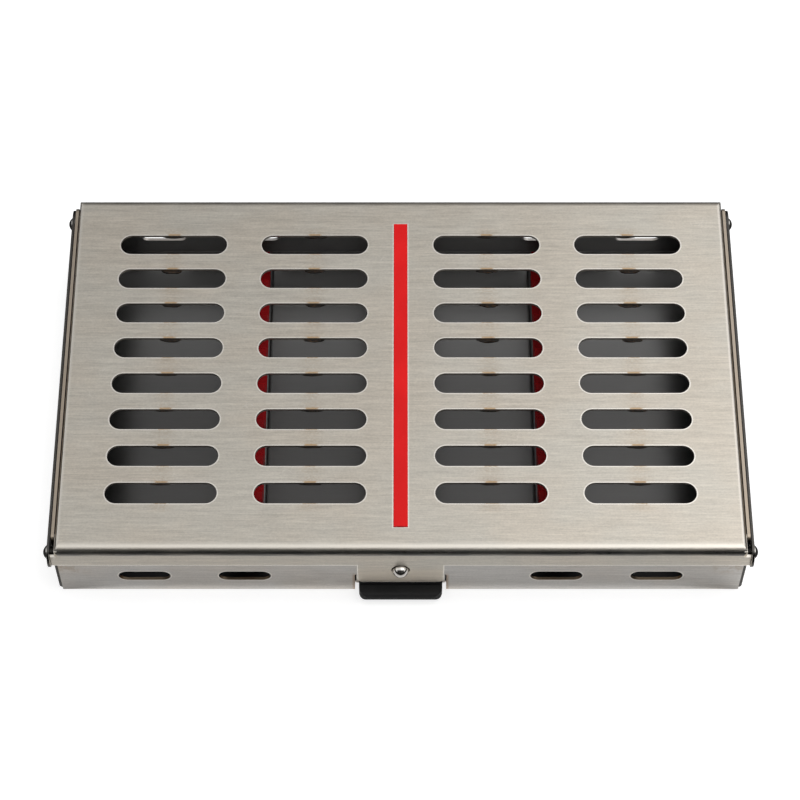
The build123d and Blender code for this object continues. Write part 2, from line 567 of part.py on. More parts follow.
def silicone_rail(side, name):
    """Comb that the instruments lie in. Its foot slides into the channel."""
    with BuildPart() as rail:
        with BuildSketch(plane_at_x(side * RAIL_X)):
            with Locations((LID_SLOT_SHIFT, RAIL_BOTTOM)):
                Rectangle(RAIL_LENGTH, RAIL_TOP - RAIL_BOTTOM, align=(Align.CENTER, Align.MIN))
            with Locations([(y, RAIL_TOP) for y in row_positions()]):
                Rectangle(NOTCH_WIDTH, 2 * NOTCH_DEPTH, mode=Mode.SUBTRACT)
            by_height = vertices().group_by(Axis.Y)
            fillet(by_height[-1], TOOTH_ROUND)
            fillet(by_height[1], NOTCH_ROUND)
        extrude(amount=RAIL_WIDTH / 2, both=True)
        # grooves for the channel's lips
        with BuildSketch(Plane.XZ):
            for edge in MIRRORED:
                with Locations((side * RAIL_X + edge * WAIST_X, RAIL_FOOT_TOP)):
                    grow = Align.MIN if edge > 0 else Align.MAX
                    Rectangle(RAIL_WIDTH, SHEET + 2 * CHANNEL_GAP, align=(grow, Align.MIN))
        extrude(amount=RAIL_LENGTH, both=True, mode=Mode.SUBTRACT)
        # pockets over the rivets
        with BuildSketch(Plane.XY.offset(RAIL_BOTTOM)):
            with Locations((side * RAIL_X, LID_SLOT_SHIFT)):
                with GridLocations(0, CHANNEL_RIVET_SPACING, 1, CHANNEL_RIVETS):
                    Circle(RIVET_HEAD_RADIUS + RIVET_POCKET_GAP)
        extrude(amount=RIVET_HEAD_HEIGHT + RIVET_POCKET_GAP, mode=Mode.SUBTRACT)
    write(rail, name)


for side, label in ((-1, "left"), (1, "right")):
    rail_channel(side, f"rail_channel_{label}")
    channel_rivets(side, f"channel_rivets_{label}")
    silicone_rail(side, f"silicone_rail_{label}")
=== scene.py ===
"""Looks of the slotted steel instrument cassette. Lengths are metres unless a name ends in MM."""

import math
import random

import bmesh
import bpy
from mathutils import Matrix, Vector, noise


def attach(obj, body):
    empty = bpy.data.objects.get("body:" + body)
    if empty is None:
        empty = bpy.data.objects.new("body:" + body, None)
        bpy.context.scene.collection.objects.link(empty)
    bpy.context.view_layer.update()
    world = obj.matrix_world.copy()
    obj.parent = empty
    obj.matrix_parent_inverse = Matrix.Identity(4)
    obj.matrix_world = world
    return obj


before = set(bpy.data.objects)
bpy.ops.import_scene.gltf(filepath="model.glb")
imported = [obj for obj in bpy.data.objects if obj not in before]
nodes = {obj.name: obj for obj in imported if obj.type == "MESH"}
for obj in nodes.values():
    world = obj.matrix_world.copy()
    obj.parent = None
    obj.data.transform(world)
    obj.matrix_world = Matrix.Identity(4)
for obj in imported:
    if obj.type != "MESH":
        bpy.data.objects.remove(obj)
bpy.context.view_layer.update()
scene = bpy.context.scene

# Sizes that the materials and small pieces repeat from the CAD, in mm
SLOT_COLUMNS_MM = (23.5, 62.1)
SLOT_HALF_MM = 11.5            # half of a slot's straight part
SLOT_RADIUS_MM = 3.05
ROW_PITCH_MM = 11.05
ROW_SHIFT_MM = 0.9
STRIP_MM = (1.875, 47.0, -0.7)      # half width, half length, middle
ROWS = 8
WALL_SLOTS_MM = (40.6, 66.7)
WALL_SLOT_HALF_MM = 4.4
WALL_SLOT_RADIUS_MM = 2.4
WALL_SLOT_Z_MM = 8.6
FLANGE_BOTTOM_MM = 16.4
TAB_HALF_MM = 11.3
TAB_BOTTOM_MM = 6.9
LID_HALF_X_MM = 88.75
FRONT_FACE_MM = -53.0               # the tray's front wall has its outer face beyond this
FLANGE_FACE_MM = -53.95             # the lid's front flange has its inner face near this
SIDE_SHEET_MM = 88.9                # the tray's side walls lie beyond this
FLOOR_MM = 1.2                      # the tray's inner floor lies below this
LATCH_NOTCH_MM = 12.0               # half width of the front wall's cut for the latch
LID_TOP = 0.024
SHEET = 0.0008


class Shader:
    """One node material, with short calls for the nodes that it uses. Its places are in mm."""

    def __init__(self, name):
        self.material = bpy.data.materials.new(name)
        self.material.use_nodes = True
        self.tree = self.material.node_tree
        self.surface = self.tree.nodes["Principled BSDF"]
        coordinates = self.tree.nodes.new("ShaderNodeTexCoord")
        enlarged = self.tree.nodes.new("ShaderNodeVectorMath")
        enlarged.operation = "SCALE"
        enlarged.inputs["Scale"].default_value = 1000
        self.tree.links.new(coordinates.outputs["Object"], enlarged.inputs[0])
        self.place = enlarged.outputs[0]
        self.x, self.y, self.z = self.split(self.place)
        self.nx, self.ny, self.nz = self.split(coordinates.outputs["Normal"])

    def put(self, source, socket):
        if isinstance(source, bpy.types.NodeSocket):
            self.tree.links.new(source, socket)
        else:
            socket.default_value = source

    def split(self, vector):
        node = self.tree.nodes.new("ShaderNodeSeparateXYZ")
        self.put(vector, node.inputs[0])
        return node.outputs[0], node.outputs[1], node.outputs[2]

    def join(self, x, y, z=0.0):
        node = self.tree.nodes.new("ShaderNodeCombineXYZ")
        for source, socket in zip((x, y, z), node.inputs):
            self.put(source, socket)
        return node.outputs[0]

    def math(self, operation, *sources):
        node = self.tree.nodes.new("ShaderNodeMath")
        node.operation = operation
        for source, socket in zip(sources, node.inputs):
            self.put(source, socket)
        return node.outputs[0]

    def add(self, *sources):
        total = sources[0]
        for source in sources[1:]:
            total = self.math("ADD", total, source)
        return total

    def times(self, *sources):
        total = sources[0]
        for source in sources[1:]:
            total = self.math("MULTIPLY", total, source)
        return total

    def minus(self, a, b):
        return self.math("SUBTRACT", a, b)

    def most(self, a, b):
        return self.math("MAXIMUM", a, b)

    def least(self, a, b):
        return self.math("MINIMUM", a, b)

    def above(self, a, b):
        return self.math("GREATER_THAN", a, b)

    def below(self, a, b):
        return self.math("LESS_THAN", a, b)

    def size(self, a):
        return self.math("ABSOLUTE", a)

    def fade(self, source, start, end, low=0.0, high=1.0):
        """Smooth step of source, from low at start to high at end."""
        node = self.tree.nodes.new("ShaderNodeMapRange")
        node.interpolation_type = "SMOOTHSTEP"
        for value, socket in zip((source, start, end, low, high), node.inputs):
            self.put(value, socket)
        return node.outputs[0]

    def noise(self, vector, stretch=(1, 1, 1), detail=2.0, roughness=0.5, distortion=0.0):
        mapping = self.tree.nodes.new("ShaderNodeMapping")
        self.put(vector, mapping.inputs["Vector"])
        mapping.inputs["Scale"].default_value = stretch
        node = self.tree.nodes.new("ShaderNodeTexNoise")
        self.put(mapping.outputs[0], node.inputs["Vector"])
        node.inputs["Scale"].default_value = 1.0
        node.inputs["Detail"].default_value = detail
        node.inputs["Roughness"].default_value = roughness
        node.inputs["Distortion"].default_value = distortion
        return node.outputs["Fac"]

    def sway(self, amount, source):
        """Noise about zero, times amount."""
        return self.times(self.minus(source, 0.5), amount)

    def mix(self, factor, a, b, blend="MIX"):
        node = self.tree.nodes.new("ShaderNodeMix")
        node.data_type = "RGBA"
        node.blend_type = blend
        for source, socket in zip((factor, a, b), (node.inputs[0], node.inputs[6], node.inputs[7])):
            self.put((*source, 1.0) if isinstance(source, tuple) else source, socket)
        return node.outputs[2]

    def grey(self, value):
        node = self.tree.nodes.new("ShaderNodeCombineColor")
        for socket in node.inputs:
            self.put(value, socket)
        return node.outputs[0]

    def bump(self, height, distance, strength=1.0):
        node = self.tree.nodes.new("ShaderNodeBump")
        node.inputs["Strength"].default_value = strength
        node.inputs["Distance"].default_value = distance
        self.put(height, node.inputs["Height"])
        self.put(node.outputs[0], self.surface.inputs["Normal"])

    def capsule(self, along, across, half, radius):
        """Distance outside a slot with round ends, from the two offsets to its centre."""
        past = self.most(self.minus(self.size(along), half), 0.0)
        length = self.tree.nodes.new("ShaderNodeVectorMath")
        length.operation = "LENGTH"
        self.put(self.join(past, across), length.inputs[0])
        return self.minus(length.outputs["Value"], radius)

    def sheet_flow(self):
        """Place along the folded sheet: first along its grain, then across it."""
        upright = self.above(self.size(self.ny), 0.6)
        across = self.add(self.y, self.times(upright, self.z))
        return self.join(self.add(self.x, self.z), across)

    def stretch_highlights(self, amount, axis="X"):
        """Spreads reflections across a grain that runs along the axis."""
        tangent = self.tree.nodes.new("ShaderNodeTangent")
        tangent.direction_type = "RADIAL"
        tangent.axis = axis
        self.put(tangent.outputs[0], self.surface.inputs["Tangent"])
        self.surface.inputs["Anisotropic"].default_value = amount


def steel(name, warm, cool, rough, grain=1.0, stretched=0.6, flow=None, depth=0.000012):
    """Brushed steel. Returns the shader and its colour, for masks to be laid over."""
    s = Shader(name)
    way = flow(s) if flow else s.sheet_flow()
    fine = s.noise(way, (0.16, 2.3, 1), 3, 0.6)
    middle = s.noise(way, (0.045, 0.75, 1), 2)
    cloud = s.noise(s.place, (0.035, 0.05, 0.05), 3, 0.55)
    speck = s.noise(s.place, (1.9, 2.6, 2.6), 2)
    level = s.add(1.0, s.sway(0.50 * grain, fine), s.sway(0.36 * grain, middle), s.sway(0.24, cloud),
                  s.sway(0.30 * grain, speck))
    tint = s.mix(s.fade(cloud, 0.35, 0.65), warm, cool)
    colour = s.mix(1.0, tint, s.grey(level), "MULTIPLY")
    s.surface.inputs["Metallic"].default_value = 1.0
    s.rough = s.add(rough, s.sway(0.14, middle), s.sway(0.10, cloud), s.sway(0.10, fine))
    s.height = s.add(fine, s.times(middle, 0.8), s.times(speck, 0.4))
    s.depth = depth
    if stretched:
        s.stretch_highlights(stretched)
    return s, colour


def close(s, colour):
    """Joins the worked-out colour, roughness and grain height to the surface."""
    s.put(colour, s.surface.inputs["Base Color"])
    s.put(s.rough, s.surface.inputs["Roughness"])
    s.bump(s.height, s.depth)
    return s.material


# Tints laid over the steel
# Painted highlight: this pale colour on slot rims and sheet edges stands in for light caught by the cut edges
PAINTED_RIM_HIGHLIGHT = (0.93, 0.89, 0.82)
HEAT = (0.50, 0.29, 0.10)
HAZE = (0.42, 0.28, 0.14)
WARM_TAB = (0.72, 0.62, 0.50)
# The next four colours are painted light: a highlight for the bands beside the folds, a dark reflection for
# the folds, and shade for the lid's ear corners and underside
PAINTED_HIGHLIGHT = (0.95, 0.90, 0.82)
PAINTED_DARK_FOLD = (0.17, 0.17, 0.175)
PAINTED_SHADE_EAR = (0.02, 0.019, 0.018)
PAINTED_SHADE_UNDERSIDE = (0.16, 0.155, 0.15)
SCRATCH = (0.80, 0.76, 0.70)
# The next four colours are painted shade and shadow on the tray: the floor along the front, the side walls'
# outer faces, their front ends with the burnt cut edge, and the front wall below the lid flange's ends
SHADED_FLOOR = (0.014, 0.014, 0.015)
PAINTED_SHADE_FLANK = (0.10, 0.095, 0.09)
BURNT_AND_SHADED_END = (0.025, 0.023, 0.021)
BROWN_PAINTED_SHADOW = (0.34, 0.24, 0.14)
TAN_EDGE = (0.42, 0.34, 0.25)
BROWN_CUT = (0.40, 0.25, 0.12)
BROWN_SIDE = (0.34, 0.20, 0.10)
# Painted shade for the arms' rounded edges
PAINTED_SHADE_EDGE = (0.035, 0.032, 0.030)
SPRING_EDGE = (0.30, 0.17, 0.08)
DUST = (0.85, 0.45, 0.42)


def lid_material():
    s, colour = steel("lid brushed steel", (0.64, 0.585, 0.505), (0.60, 0.565, 0.50), 0.36)
    top = s.above(s.nz, 0.9)
    # slots of the top, with a painted highlight round the edge of each slot
    row = s.minus(s.y, ROW_SHIFT_MM)
    in_rows = s.below(s.size(row), ROW_PITCH_MM * ROWS / 2)
    across = s.minus(s.math("WRAP", row, ROW_PITCH_MM, 0.0), ROW_PITCH_MM / 2)
    middle = sum(SLOT_COLUMNS_MM) / 2
    off_middle = s.size(s.minus(s.size(s.x), middle))
    along = s.minus(off_middle, middle - SLOT_COLUMNS_MM[0])
    away = s.capsule(along, across, SLOT_HALF_MM, SLOT_RADIUS_MM)
    wear_and_sheen_patches = s.noise(s.place, (0.35, 0.35, 0.35), 2)
    rim_highlight = s.times(s.fade(away, 0.42, 0.16), top, in_rows, s.fade(wear_and_sheen_patches, 0.25, 0.5, 0.75, 1.0))
    # slot of the silicone strip, with a painted highlight round its edge
    side = s.minus(s.size(s.x), STRIP_MM[0])
    end = s.minus(s.size(s.minus(s.y, STRIP_MM[2])), STRIP_MM[1])
    strip_rim_highlight = s.times(s.fade(s.most(side, end), 0.42, 0.2), top)
    # brown marks that the cutting left at each slot's middle
    ragged = s.noise(s.place, (1.4, 2.4, 1.0), 3, 0.65)
    uneven = s.add(away, s.times(across, -0.05), s.sway(0.7, ragged))
    mark = s.times(s.fade(s.add(s.size(along), s.sway(2.2, ragged)), 2.0, 1.2), s.fade(uneven, 0.40, 0.18),
                   top, in_rows)
    haze = s.times(s.fade(s.size(along), 4.5, 0.5), s.fade(away, 4.2, 0.2), s.fade(ragged, 0.35, 0.65),
                   top, in_rows, 0.30)
    # lower edge of the front flange and its tab, with a pale painted highlight along it; the tab below the
    # flange takes a warmer tone
    front = s.times(s.below(s.ny, -0.9), s.below(s.y, -50.0))
    flange = s.minus(s.z, FLANGE_BOTTOM_MM)
    tab = s.least(s.minus(TAB_HALF_MM, s.size(s.x)),
                 s.minus(s.z, TAB_BOTTOM_MM))
    inside = s.most(flange, tab)
    edge = s.times(s.fade(inside, 0.42, 0.12), front)
    lower = s.times(s.fade(s.z, 16.5, 12.0), front)
    # thin stray scratches
    bent = s.noise(s.place, (0.09, 0.09, 0.09), 2, distortion=0.6)
    thin = s.fade(s.size(s.minus(bent, 0.5)), 0.0035, 0.0)
    scratch = s.times(thin, s.fade(wear_and_sheen_patches, 0.5, 0.62), top)
    # front and back folds a little smoother and darkened as a painted dark reflection, painted highlight
    # bands beside the front fold and along the side edges, the ear corners painted near black as shade,
    # underside darkened as painted shade
    streak = s.noise(s.place, (0.10, 1.2, 1.2), 3)
    dark_fold_reflection = s.times(s.fade(s.nz, 0.88, 0.60), s.fade(s.nz, 0.02, 0.12), s.fade(s.size(s.ny), 0.3, 0.5))
    front_highlight_band = s.times(s.fade(s.y, -51.4, -53.4), s.fade(s.nz, 0.80, 0.93))
    from_side = s.minus(LID_HALF_X_MM, s.size(s.x))
    side_highlight_band = s.times(s.fade(from_side, 1.5, 0.5), s.fade(s.nz, 0.55, 0.85))
    polished = s.most(s.times(front_highlight_band, 0.70), side_highlight_band)
    painted_shade_ears = s.times(s.fade(from_side, 0.1, -0.1), s.fade(s.y, FLANGE_FACE_MM, FLANGE_FACE_MM + 0.15))
    under = s.fade(s.nz, -0.5, -0.8)
    colour = s.mix(haze, colour, HAZE)
    colour = s.mix(s.times(lower, 0.45), colour, WARM_TAB)
    # Painted highlight on the bands, painted dark reflection in the folds, painted shade on the ear corners
    # and the underside
    colour = s.mix(s.times(polished, 0.85), colour, PAINTED_HIGHLIGHT)
    colour = s.mix(s.times(dark_fold_reflection, s.fade(streak, 0.3, 0.7, 0.80, 0.30)), colour, PAINTED_DARK_FOLD)
    colour = s.mix(s.times(painted_shade_ears, 0.9), colour, PAINTED_SHADE_EAR)
    colour = s.mix(s.times(under, 0.8), colour, PAINTED_SHADE_UNDERSIDE)
    colour = s.mix(s.times(scratch, 0.35), colour, SCRATCH)
    # Painted highlight: slot rims, the strip's rims and the flange's lower edge are laid over in a pale
    # colour
    pale = s.most(s.most(rim_highlight, strip_rim_highlight), edge)
    colour = s.mix(s.times(pale, 0.9), colour, PAINTED_RIM_HIGHLIGHT)
    colour = s.mix(s.times(mark, 0.70), colour, HEAT)
    s.rough = s.add(s.rough, s.times(pale, -0.10), s.times(mark, 0.15), s.times(dark_fold_reflection, -0.06))
    return close(s, colour)


def tray_material():
    s, colour = steel("tray satin steel", (0.56, 0.52, 0.475), (0.545, 0.525, 0.50), 0.34)
    outside = s.below(s.y, FRONT_FACE_MM)
    front = s.times(s.below(s.ny, -0.9), outside)
    across = s.minus(s.z, WALL_SLOT_Z_MM)
    middle = sum(WALL_SLOTS_MM) / 2
    off_middle = s.size(s.minus(s.size(s.x), middle))
    along = s.minus(off_middle, middle - WALL_SLOTS_MM[0])
    away = s.capsule(along, across, WALL_SLOT_HALF_MM, WALL_SLOT_RADIUS_MM)
    # painted highlight round the front wall's slots
    rim_highlight = s.times(s.fade(away, 0.40, 0.14), front)
    # sawn edges of the sheet, brown where they were cut
    upward = s.above(s.nz, 0.5)
    cut = s.times(upward, s.fade(s.z, 5.0, 6.0), outside)
    top_edge = s.times(upward, s.fade(s.z, 19.0, 20.0))
    from_notch = s.size(s.minus(s.size(s.x), LATCH_NOTCH_MM))
    sides = s.times(s.fade(from_notch, 0.9, 0.1), s.fade(s.z, 10.5, 8.0), outside)
    # painted shade: the inside is darkened, more towards the front, and the floor along the front is darker
    # still as painted shadow
    floor_face = s.times(upward, s.below(s.z, FLOOR_MM))
    inward = s.most(s.below(s.times(s.x, s.nx), -40.0),
                    s.below(s.times(s.y, s.ny), -26.0))
    inner = s.most(floor_face, inward)
    painted_shadow_front = s.times(floor_face, s.fade(s.y, -38.0, -43.0))
    # side walls: painted shade on their outer faces, and their front ends near black, partly the burnt cut
    # edge and partly painted shade
    painted_shade_flank = s.times(s.fade(s.size(s.nx), 0.35, 0.75), s.above(s.size(s.x), SIDE_SHEET_MM + 0.1))
    ends = s.times(s.fade(s.ny, -0.3, -0.7), s.fade(s.size(s.x), SIDE_SHEET_MM - 0.05, SIDE_SHEET_MM + 0.05))
    # painted shadow, brownish and blotchy, on the front wall near its ends just below the lid's flange
    blotch = s.noise(s.place, (0.5, 0.5, 0.35), 3, 0.6)
    brown_painted_shadow = s.times(front, s.fade(s.size(s.x), 79.0, 84.0), s.fade(s.z, 8.0, 14.0),
                    s.fade(blotch, 0.42, 0.62))
    # Painted shade and shadow laid over the tray's steel: the inside, the floor along the front, the side
    # walls' outer faces and front ends, and below the flange's ends
    colour = s.mix(s.times(inner, 0.93), colour, s.grey(s.fade(s.y, -5.0, 48.0, 0.13, 0.34)))
    colour = s.mix(s.times(painted_shadow_front, 0.9), colour, SHADED_FLOOR)
    colour = s.mix(s.times(painted_shade_flank, 0.75), colour, PAINTED_SHADE_FLANK)
    colour = s.mix(s.times(ends, 0.92), colour, BURNT_AND_SHADED_END)
    colour = s.mix(s.times(brown_painted_shadow, 0.45), colour, BROWN_PAINTED_SHADOW)
    colour = s.mix(s.times(top_edge, 0.75), colour, TAN_EDGE)
    colour = s.mix(s.times(rim_highlight, 0.85), colour, PAINTED_RIM_HIGHLIGHT)
    colour = s.mix(s.times(cut, 0.7), colour, BROWN_CUT)
    colour = s.mix(s.times(sides, 0.6), colour, BROWN_SIDE)
    return close(s, colour)


def along_y(s):
    return s.join(s.add(s.y, s.x), s.add(s.z, s.x))


def arm_material():
    s, colour = steel("arm steel", (0.46, 0.44, 0.40), (0.45, 0.445, 0.43), 0.28, flow=along_y, stretched=0.0)
    # painted shade: the rounded edges darkened to near black
    edge = s.fade(s.size(s.nx), 0.8, 0.3)
    colour = s.mix(s.times(edge, 0.88), colour, PAINTED_SHADE_EDGE)
    return close(s, colour)


def spring_material():
    s, colour = steel("spring steel", (0.50, 0.44, 0.36), (0.50, 0.48, 0.45), 0.30, grain=0.7)
    edge = s.times(s.fade(s.size(s.nx), 0.3, 0.7), s.fade(s.z, 11.0, 8.0))
    colour = s.mix(s.times(edge, 0.7), colour, SPRING_EDGE)
    return close(s, colour)


def turned_material(name, tint, rough):
    """Polished turned steel with faint rings round the X axis of a pin, and fine scratches."""
    s = Shader(name)
    ring = s.noise(s.place, (3.0, 0.5, 0.5), 3)
    haze = s.noise(s.place, (0.8, 0.8, 0.8), 3)
    scratch = s.noise(s.place, (5.0, 9.0, 9.0), 2)
    level = s.add(1.0, s.sway(0.18, ring), s.sway(0.14, haze))
    colour = s.mix(1.0, tint, s.grey(level), "MULTIPLY")
    s.surface.inputs["Metallic"].default_value = 1.0
    s.rough = s.add(rough, s.sway(0.12, haze), s.sway(0.08, scratch))
    s.height = s.add(s.times(scratch, 0.5), s.times(ring, 0.5))
    s.depth = 0.000006
    return close(s, colour)


def silicone_material(name, deep, bright, rough):
    """Moulded silicone: slightly uneven red, fine moulded skin and a little dust in places."""
    s = Shader(name)
    cloud = s.noise(s.place, (0.10, 0.06, 0.10), 3)
    skin = s.noise(s.place, (4.0, 4.0, 4.0), 3)
    colour = s.mix(s.fade(cloud, 0.3, 0.7), deep, bright)
    colour = s.mix(s.fade(skin, 0.60, 0.80, 0.0, 0.05), colour, DUST)
    s.rough = s.add(rough, s.sway(0.16, cloud), s.sway(0.10, skin))
    s.surface.inputs["IOR"].default_value = 1.41
    s.surface.inputs["Specular IOR Level"].default_value = 0.25
    s.height = s.add(skin, s.times(cloud, 0.6))
    s.depth = 0.000012
    return close(s, colour)


def grip_material():
    """Matt black moulding with a fine grain and paler rubbed edges."""
    s = Shader("black moulded grip")
    grain = s.noise(s.place, (5.0, 5.0, 5.0), 3)
    cloud = s.noise(s.place, (0.3, 0.3, 0.3), 2)
    colour = s.mix(s.fade(cloud, 0.3, 0.7), (0.0085, 0.0085, 0.0088), (0.013, 0.013, 0.013))
    nose = s.times(s.fade(s.y, -56.9, -57.7), s.fade(grain, 0.40, 0.65))
    colour = s.mix(s.times(nose, 0.30), colour, (0.030, 0.030, 0.030))
    s.rough = s.add(0.62, s.sway(0.20, cloud), s.sway(0.20, grain))
    s.surface.inputs["Specular IOR Level"].default_value = 0.35
    s.height = grain
    s.depth = 0.00002
    return close(s, colour)


def dark_drop_material():
    """Near black, brown in places, rough."""
    s = Shader("dark drop surface")
    lump = s.noise(s.place, (1.6, 1.6, 1.6), 4, 0.65)
    colour = s.mix(s.fade(lump, 0.45, 0.75), (0.012, 0.010, 0.009), (0.09, 0.045, 0.016))
    s.surface.inputs["Metallic"].default_value = 0.5
    s.rough = s.add(0.60, s.sway(0.3, lump))
    s.height = lump
    s.depth = 0.00006
    return close(s, colour)


def channel_material():
    # Painted shade: the channels take a dark steel colour, as shade inside the tray
    s, colour = steel("channel steel painted dark", (0.17, 0.165, 0.16), (0.14, 0.14, 0.145), 0.36, flow=along_y,
                      stretched=0.0)
    return close(s, colour)


lid_steel = lid_material()
tray_steel = tray_material()
arm_steel = arm_material()
spring_steel = spring_material()
channel_steel = channel_material()
pin_steel = turned_material("turned pin steel", (0.62, 0.60, 0.57), 0.20)
stud_steel = turned_material("polished stud steel", (0.72, 0.69, 0.65), 0.12)
rivet_steel = turned_material("dull rivet steel", (0.34, 0.33, 0.32), 0.34)
strip_red = silicone_material("red silicone strip", (0.60, 0.005, 0.006), (0.70, 0.008, 0.009), 0.5)
rail_red = silicone_material("red silicone rail", (0.24, 0.003, 0.005), (0.32, 0.004, 0.006), 0.5)
spacer_dark = turned_material("dark spacer", (0.035, 0.033, 0.031), 0.45)
grip_black = grip_material()
dark_drop_black = dark_drop_material()

looks = {
    "lid_panel": lid_steel,
    "base_tray": tray_steel,
    "rail_channel_left": channel_steel,
    "rail_channel_right": channel_steel,
    "arm_left": arm_steel,
    "arm_right": arm_steel,
    "latch_tongue": spring_steel,
    "latch_frame": spring_steel,
    "front_spacer_left": spacer_dark,
    "front_spacer_right": spacer_dark,
    "latch_stud": stud_steel,
    "latch_grip": grip_black,
    "latch_rivets": rivet_steel,
    "channel_rivets_left": rivet_steel,
    "channel_rivets_right": rivet_steel,
    "lid_silicone_strip": strip_red,
    "silicone_rail_left": rail_red,
    "silicone_rail_right": rail_red,
}
for name, piece in nodes.items():
    piece.data.materials.clear()
    piece.data.materials.append(looks.get(name, pin_steel))


def mesh_piece(name, mesh, material, body):
    data = bpy.data.meshes.new(name)
    mesh.to_mesh(data)
    mesh.free()
    for face in data.polygons:
        face.use_smooth = True
    data.materials.append(material)
    piece = bpy.data.objects.new(name, data)
    scene.collection.objects.link(piece)
    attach(piece, body)
    return piece


def dark_drops():
    """Small dark drops under the middle of each slot's back edge."""
    chance = random.Random(7)
    mesh = bmesh.new()
    for row in range(ROWS):
        for column in (-SLOT_COLUMNS_MM[1], -SLOT_COLUMNS_MM[0], SLOT_COLUMNS_MM[0], SLOT_COLUMNS_MM[1]):
            centre_y = ROW_SHIFT_MM + ROW_PITCH_MM * (row - (ROWS - 1) / 2)
            full = 1.0 if row in (4, 5, 6) else 0.55
            wide = chance.uniform(2.6, 3.3) * 0.001
            forward = full * chance.uniform(0.8, 1.1) * 0.001
            down = full * chance.uniform(0.5, 0.8) * 0.001
            centre = Vector((column * 0.001 + chance.uniform(-0.4, 0.6) * 0.001,
                             (centre_y + SLOT_RADIUS_MM) * 0.001 + 0.0002, LID_TOP - SHEET - 0.0001))
            made = bmesh.ops.create_icosphere(mesh, subdivisions=3, radius=1.0)
            for vertex in made["verts"]:
                p = vertex.co.copy()
                lumpy = 1 + 0.22 * noise.noise(p * 1.7 + Vector((column, centre_y, 0)))
                p *= lumpy
                p.z = min(p.z, 0.25)
                vertex.co = centre + Vector((p.x * wide, p.y * forward, p.z * down))
    return mesh_piece("dark_drops", mesh, dark_drop_black, "lid")


dark_drops()


# Studio: floor, half-round tent of light over the table, flags, world and key light
def stage_piece(name, mesh, material):
    data = bpy.data.meshes.new(name)
    mesh.to_mesh(data)
    mesh.free()
    data.materials.append(material)
    piece = bpy.data.objects.new(name, data)
    scene.collection.objects.link(piece)
    return piece


def seen_rays(tree):
    """1 for rays that show the background: from the camera, off metal and through glass."""
    path = tree.nodes.new("ShaderNodeLightPath")
    first = tree.nodes.new("ShaderNodeMath")
    first.operation = "MAXIMUM"
    tree.links.new(path.outputs["Is Camera Ray"], first.inputs[0])
    tree.links.new(path.outputs["Is Glossy Ray"], first.inputs[1])
    second = tree.nodes.new("ShaderNodeMath")
    second.operation = "MAXIMUM"
    tree.links.new(first.outputs[0], second.inputs[0])
    tree.links.new(path.outputs["Is Transmission Ray"], second.inputs[1])
    return second.outputs[0]


def floor_material():
    s = Shader("pale floor")
    paper = s.noise(s.place, (0.02, 0.02, 0.02), 3)
    tone = s.mix(s.fade(paper, 0.3, 0.7), (0.50, 0.50, 0.50), (0.52, 0.52, 0.52))
    s.put(tone, s.surface.inputs["Base Color"])
    s.surface.inputs["Roughness"].default_value = 0.9
    s.surface.inputs["Specular IOR Level"].default_value = 0.1
    s.surface.inputs["Emission Color"].default_value = (1, 1, 1, 1)
    s.put(s.times(seen_rays(s.tree), 0.74), s.surface.inputs["Emission Strength"])
    return s.material


floor_mesh = bmesh.new()
bmesh.ops.create_grid(floor_mesh, x_segments=8, y_segments=8, size=4.0)
stage_piece("floor", floor_mesh, floor_material())

TENT_RADIUS = 1.5
TENT_HALF_LENGTH = 1.6
TENT_STEPS = 36
# Brightness by angle from overhead in degrees, negative towards the front
TENT_LEVELS = [(-90, 0.04), (-46, 0.04), (-38, 0.10), (-30, 0.80), (-20, 1.25), (0, 1.28),
               (14, 1.18), (26, 0.96), (36, 0.68), (48, 0.40), (62, 0.20), (90, 0.05)]
TENT_SIDES = (-0.10, 0.45, 0.76, 1.58)      # between these two x, its brightness goes between these two
FLAG_RADIUS = 1.45
FLAG_HEIGHT = 0.42
FLAG_LIFT = 0.0005                          # the flat flag lies this far above the floor
FLAG_INNER = (0.0928, 0.0552)               # half width and half depth of its opening


